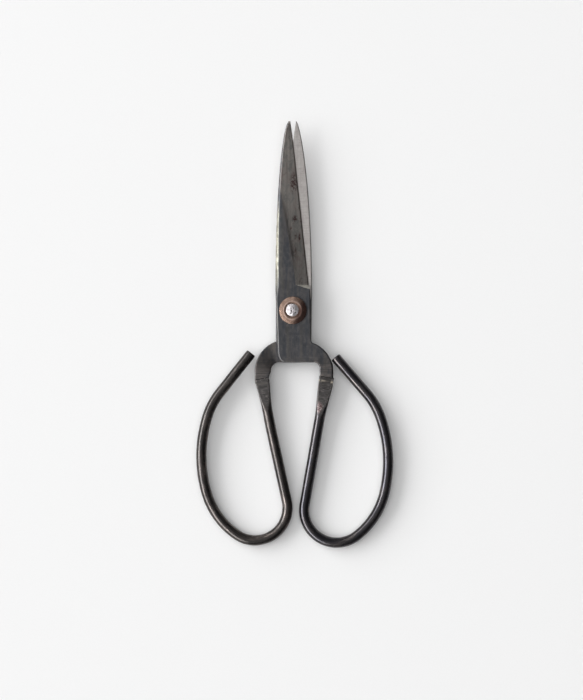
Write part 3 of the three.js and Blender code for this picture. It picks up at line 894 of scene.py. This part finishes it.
def bar_finish(name, black, brown, wear, sheen, chipped):
    """Blacking with rubs and chips, the faces ground beside the weld, its seam and the sawn end."""
    f = Finish(name)
    flow = f.attribute("flow", "Vector")
    bare, seam, heat = f.attribute("bare"), f.attribute("worn"), f.attribute("heat")
    outer, cut, scab = f.attribute("outer"), f.attribute("cut"), f.attribute("scab")
    blotch = f.noise(f.stretch(flow, 0.10, 0.45, 0.45), 5, 0.6, 0.5)
    mottle = f.noise(f.stretch(flow, 0.9, 1.1, 1.1), 4, 0.65)
    streak = f.noise(f.stretch(flow, 0.16, 2.6, 2.6), 4, 0.65)
    speck = f.noise(f.stretch(flow, 2.6, 2.6, 2.6), 3, 0.6)
    brush = f.noise(f.stretch(flow, 4.5, 0.6, 0.6), 3, 0.6)

    colour = f.mix(f.between(blotch, 0.35, 0.65), black, brown)
    colour = f.mix(f.between(speck, 0.55, 0.8, 0.0, 0.5), colour, BAR_SPECK)
    rubbed = f.times(f.between(streak, 0.54, 0.66), f.between(blotch, 0.40, 0.58))
    rubbed = f.times(rubbed, f.between(outer, 0.0, 0.8, 0.25, 1.0))
    chips = f.between(f.noise(f.stretch(flow, 0.8, 1.5, 1.5), 4, 0.75, 0.4), 0.58, 0.66)
    chips = f.times(chips, f.between(blotch, 0.46, 0.60, 0.0, chipped))
    chips = f.times(chips, f.between(outer, 0.0, 0.6, 0.5, 1.0))
    rubbed = f.math("MAXIMUM", rubbed, chips)
    colour = f.mix(rubbed, colour, wear)
    face = f.mix(f.between(brush, 0.35, 0.65), FACE_DARK, FACE_PALE)
    face = f.mix(f.between(mottle, 0.48, 0.62, 0.0, 0.8), face, FACE_MOTTLE)
    face = f.mix(f.between(speck, 0.60, 0.68, 0.0, 0.7), face, FACE_SPECK)
    colour = f.mix(bare, colour, face)
    scorched = f.mix(f.between(mottle, 0.42, 0.58), SCORCH_DARK, SCORCH_PALE)
    colour = f.mix(f.times(heat, 0.8), colour, scorched)
    crust = f.mix(f.between(speck, 0.47, 0.58), CRUST_DARK, CRUST_PALE)
    colour = f.mix(f.between(scab, 0.3, 0.6, 0.0, 0.9), colour, crust)
    colour = f.mix(seam, colour, WELD_SEAM)
    saw_lines = f.noise(f.stretch(flow, 0.5, 0.35, 5.0), 3, 0.6)
    sawn = f.mix(f.between(saw_lines, 0.4, 0.6), SAWN_DARK, SAWN_PALE)
    colour = f.mix(f.times(cut, f.between(mottle, 0.3, 0.6, 0.6, 1.0)), colour, sawn)
    rough = f.blend(bare, f.between(blotch, 0.3, 0.7, *sheen), 0.46)
    rough = f.blend(rubbed, rough, 0.42)
    rough = f.blend(scab, rough, 0.7)
    rough = f.blend(cut, rough, 0.5)
    height = f.times(mottle, f.between(heat, 0, 1, 0.7, 3.5))
    height = f.math("ADD", height, f.times(speck, 0.25))
    height = f.math("ADD", height, f.times(blotch, 2.2))
    height = f.math("SUBTRACT", height, f.times(chips, 0.8))
    height = f.math("ADD", height, f.times(f.times(brush, bare), 0.5))
    return f.finish(colour, rough, height, 0.03)


# The crest's pale colour is a painted highlight. The two darkest colours are painted shade, on the
# side away from the window and in the gap round the rivet's head
COPPER, COPPER_DULL, COPPER_SPECK = (0.46, 0.32, 0.255), (0.27, 0.175, 0.135), (0.22, 0.14, 0.11)
COPPER_CREST_HIGHLIGHT, COPPER_SHADE = (0.70, 0.51, 0.435), (0.085, 0.042, 0.038)
COPPER_GAP_SHADE = (0.06, 0.035, 0.028)


def copper_finish():
    f = Finish("copper_worn")
    gap_shade, worn, dark = f.attribute("gap_shade"), f.attribute("worn"), f.attribute("shaded_side")
    blotch = f.noise(f.place(2.2, 2.2, 2.2), 5, 0.6, 0.8)
    speck = f.noise(f.place(0.45, 0.45, 0.45), 3, 0.6)
    colour = f.mix(f.between(blotch, 0.35, 0.68), COPPER, COPPER_DULL)
    colour = f.mix(f.between(speck, 0.5, 0.75, 0.0, 0.5), colour, COPPER_SPECK)
    # the crest's ring is painted paler: a painted highlight
    colour = f.mix(f.times(worn, 0.7), colour, COPPER_CREST_HIGHLIGHT)
    # the side away from the window is painted darker: painted shade
    painted_shade = f.times(dark, f.between(blotch, 0.3, 0.6, 0.75, 0.95))
    colour = f.mix(painted_shade, colour, COPPER_SHADE)
    # the gap round the head is painted dark: painted shade
    colour = f.mix(f.times(gap_shade, 0.9), colour, COPPER_GAP_SHADE)
    rough = f.between(blotch, 0.3, 0.7, 0.17, 0.33)
    height = f.math("ADD", f.times(blotch, 1.2), f.times(speck, 0.6))
    return f.finish(colour, rough, height, 0.03)


RIVET_PALE, RIVET_DARK, RIVET_SPECK = (0.51, 0.49, 0.505), (0.42, 0.40, 0.41), (0.22, 0.18, 0.19)
# the colour the head turns to in its pits
RIVET_PIT_DARK = (0.06, 0.045, 0.045)


def rivet_finish():
    f = Finish("rivet_hammered_steel")
    blotch = f.noise(f.place(0.9, 0.9, 0.9), 4, 0.6)
    speck = f.noise(f.place(0.28, 0.28, 0.28), 3, 0.6)
    colour = f.mix(f.between(blotch, 0.42, 0.6), RIVET_PALE, RIVET_DARK)
    colour = f.mix(f.between(speck, 0.56, 0.66, 0.0, 0.8), colour, RIVET_SPECK)
    # darker in the pits
    colour = f.mix(f.between(f.attribute("pit_dark"), 0.2, 0.8, 0.0, 0.9), colour, RIVET_PIT_DARK)
    rough = f.between(blotch, 0.3, 0.7, 0.52, 0.68)
    height = f.math("ADD", f.times(blotch, 2.0), f.times(speck, 1.4))
    return f.finish(colour, rough, height, 0.05)


PAPER_DARK, PAPER_PALE = 0.866, 0.88


def floor_finish():
    f = Finish("paper_floor")
    grain = f.noise(f.place(0.7, 0.7, 0.7), 3, 0.5)
    colour = f.mix(f.between(grain, 0.3, 0.7), (PAPER_DARK,) * 3, (PAPER_PALE,) * 3)
    made = f.finish(colour, 0.95, grain, 0.004, 0.0)
    f.shader.inputs["Specular IOR Level"].default_value = 0.1
    return made


# ---------------------------------------------------------------- pieces

front_steel = blade_finish(
    "front_blade_steel", (0.066, 0.067, 0.072), (0.094, 0.090, 0.092), (0.54, 0.50, 0.47),
    (0.60, 0.575, 0.56), (0.40, 0.385, 0.325),
)
rear_steel = blade_finish(
    "rear_blade_steel", (0.075, 0.076, 0.082), (0.125, 0.115, 0.11), (0.42, 0.385, 0.36),
    (0.60, 0.57, 0.55), (0.80, 0.77, 0.71),
)
front_black = bar_finish("front_bar_black", (0.050, 0.049, 0.056), (0.072, 0.067, 0.069),
                         (0.22, 0.19, 0.17), (0.19, 0.31), 0.35)
rear_black = bar_finish("rear_bar_black", (0.050, 0.047, 0.046), (0.075, 0.068, 0.065),
                        (0.36, 0.30, 0.275), (0.22, 0.36), 0.8)
copper = copper_finish()
rivet_steel = rivet_finish()

# dents are x, y, radius and depth; stains are x, y and how far they reach across and along
FRONT_DENTS = [(-0.7, 36.4, 0.32, 0.10), (1.2, 41.2, 0.35, 0.05), (0.4, 53.0, 0.4, 0.05)]
FRONT_STAINS = [(0.5, 57, 1.7, 4.2), (0.9, 41, 1.1, 1.3), (-0.7, 36.4, 0.4, 1.0),
                (3.0, 32.5, 0.5, 2.2)]
REAR_DENTS = [(-3.1, 30, 0.5, 0.08)]
REAR_STAINS = [(-1.0, 48, 1.5, 3.0)]
front_blade = drilled(
    blade_mesh("front_blade_forged", FRONT, False, FRONT_DENTS, FRONT_STAINS, seed=2)
)
settle(front_blade, "front_blade", front_steel)
rear_blade = drilled(blade_mesh("rear_blade_forged", REAR, True, REAR_DENTS, REAR_STAINS, seed=5))
settle(rear_blade, "rear_blade", rear_steel)
front_handle = bar_mesh("front_handle_bar", FRONT, rear=False, seed=8)
settle(front_handle, "front_handle", front_black)
rear_handle = bar_mesh("rear_handle_bar", REAR, rear=True, seed=21)
settle(rear_handle, "rear_handle", rear_black)
front_washer = washer_piece("front_washer_domed", rear=False, seed=31)
settle(front_washer, "front_washer", copper)
rear_washer = washer_piece("rear_washer_domed", rear=True, seed=37)
settle(rear_washer, "rear_washer", copper)
rivet = rivet_piece("rivet_hammered", seed=11)
settle(rivet, "pivot_rivet", rivet_steel)

# ---------------------------------------------------------------- floor, light and camera

lowest, highest = CAD_BOX
bow_y = lowest.y + BAR_RADIUS * MM  # where the bows touch the floor
bow_z = (MIDDLE_Z - BAR_RADIUS) * MM
slope = math.atan2(bow_z, -bow_y)  # the snips rest on the rivet's rear head and on the bows

FLOOR_HALF = 20.0
FLOOR_BELOW = 0.02 * MM  # keeps the floor clear of what rests on it
floor_mesh = bpy.data.meshes.new("floor")
floor_mesh.from_pydata(
    [(sx * FLOOR_HALF, sy * FLOOR_HALF, 0) for sx, sy in ((-1, -1), (1, -1), (1, 1), (-1, 1))],
    [], [(0, 1, 2, 3)],
)
floor = bpy.data.objects.new("floor", floor_mesh)
bpy.context.scene.collection.objects.link(floor)
floor.rotation_euler = (-slope, 0, 0)
floor.location = (0, 0, -FLOOR_BELOW)
floor.data.materials.append(floor_finish())

# The window is left of the picture and a little above it. Its light on surfaces and its image in
# the metal are two lamps, and the image is dimmer so that the blades aren't blown out.
LAMPS_AWAY = 5.0  # metres
WINDOW = dict(side=(-0.85, 0.25, 0.395), power=352.0, size=(7.6, 2.7))
MIRRORED = dict(side=(-0.83, 0.27, 0.52), power=176.0, size=(7.6, 1.5))
STRIP = dict(side=(-0.67, -0.34, 0.65), power=390.0, size=(7.8, 1.7))
CEILING = dict(place=(-2.9, 0.3, 3.4), power=62.0, size=(6.2, 8.0))
FILL = dict(side=(-0.14, 0.03, 1.0), strength=1.2, angle=84)
ROOM = dict(side=(-0.95, 0.20, 0.10), dim=0.08, bright=0.42)


def lamp(name, kind, towards, power, not_seen_by):
    """A lamp in that direction from the object, facing it, and what doesn't see it."""
    made = bpy.data.objects.new(name, bpy.data.lights.new(name, kind))
    made.data.energy = power
    made.rotation_mode = "QUATERNION"
    made.rotation_quaternion = Vector(towards).to_track_quat("Z", "Y")
    setattr(made, not_seen_by, False)
    bpy.context.scene.collection.objects.link(made)
    return made


def panel(name, towards, place, power, size, not_seen_by):
    made = lamp(name, "AREA", towards, power, not_seen_by)
    made.location = place
    made.data.shape = "RECTANGLE"
    made.data.size, made.data.size_y = size
    return made


def far_panel(name, side, power, size, not_seen_by):
    towards = Vector(side).normalized()
    return panel(name, towards, towards * LAMPS_AWAY, power, size, not_seen_by)


far_panel("window", **WINDOW, not_seen_by="visible_glossy")
far_panel("mirrored_window", **MIRRORED, not_seen_by="visible_diffuse")

# soft light from above that the metal doesn't mirror
fill = lamp("fill", "SUN", FILL["side"], FILL["strength"], "visible_glossy")
fill.data.angle = math.radians(FILL["angle"])

# the window's brightest strip, and the pale ceiling on its side, both seen only in the metal
far_panel("strip", **STRIP, not_seen_by="visible_diffuse")
panel("ceiling", (0, 0, 1), **CEILING, not_seen_by="visible_diffuse")

# The room: brighter on the window's side and dim on the other
world = bpy.data.worlds.new("room")
bpy.context.scene.world = world
world.use_nodes = True
tree = world.node_tree
background = tree.nodes["Background"]
direction = tree.nodes.new("ShaderNodeTexCoord")
towards = tree.nodes.new("ShaderNodeVectorMath")
towards.operation = "DOT_PRODUCT"
towards.inputs[1].default_value = Vector(ROOM["side"]).normalized()
room = tree.nodes.new("ShaderNodeMapRange")
room_range = {"From Min": -0.75, "From Max": 0.9, "To Min": ROOM["dim"], "To Max": ROOM["bright"]}
for key, value in room_range.items():
    room.inputs[key].default_value = value
tree.links.new(direction.outputs["Generated"], towards.inputs[0])
tree.links.new(towards.outputs["Value"], room.inputs["Value"])
tree.links.new(room.outputs["Result"], background.inputs["Strength"])
background.inputs["Color"].default_value = (1, 1, 1, 1)

bpy.context.scene.view_settings.view_transform = "Standard"
bpy.context.scene.view_settings.look = "None"

LENS = 100.0
SENSOR = 36.0
VIEW_HEIGHT = 312.2  # what the picture's long side covers at the height of the blades
FRAMING = (-1.42, -6.86)  # the picture's centre, from the centre of the object's box
centre = (lowest + highest) / 2
camera_data = bpy.data.cameras.new("camera")
camera_data.lens = LENS
camera_data.sensor_width = SENSOR
camera_data.clip_start, camera_data.clip_end = 0.01, 100
camera = bpy.data.objects.new("camera", camera_data)
camera.location = (centre.x + FRAMING[0] * MM, centre.y + FRAMING[1] * MM,
                   centre.z + VIEW_HEIGHT * MM * LENS / SENSOR)
bpy.context.scene.collection.objects.link(camera)
bpy.context.scene.camera = camera
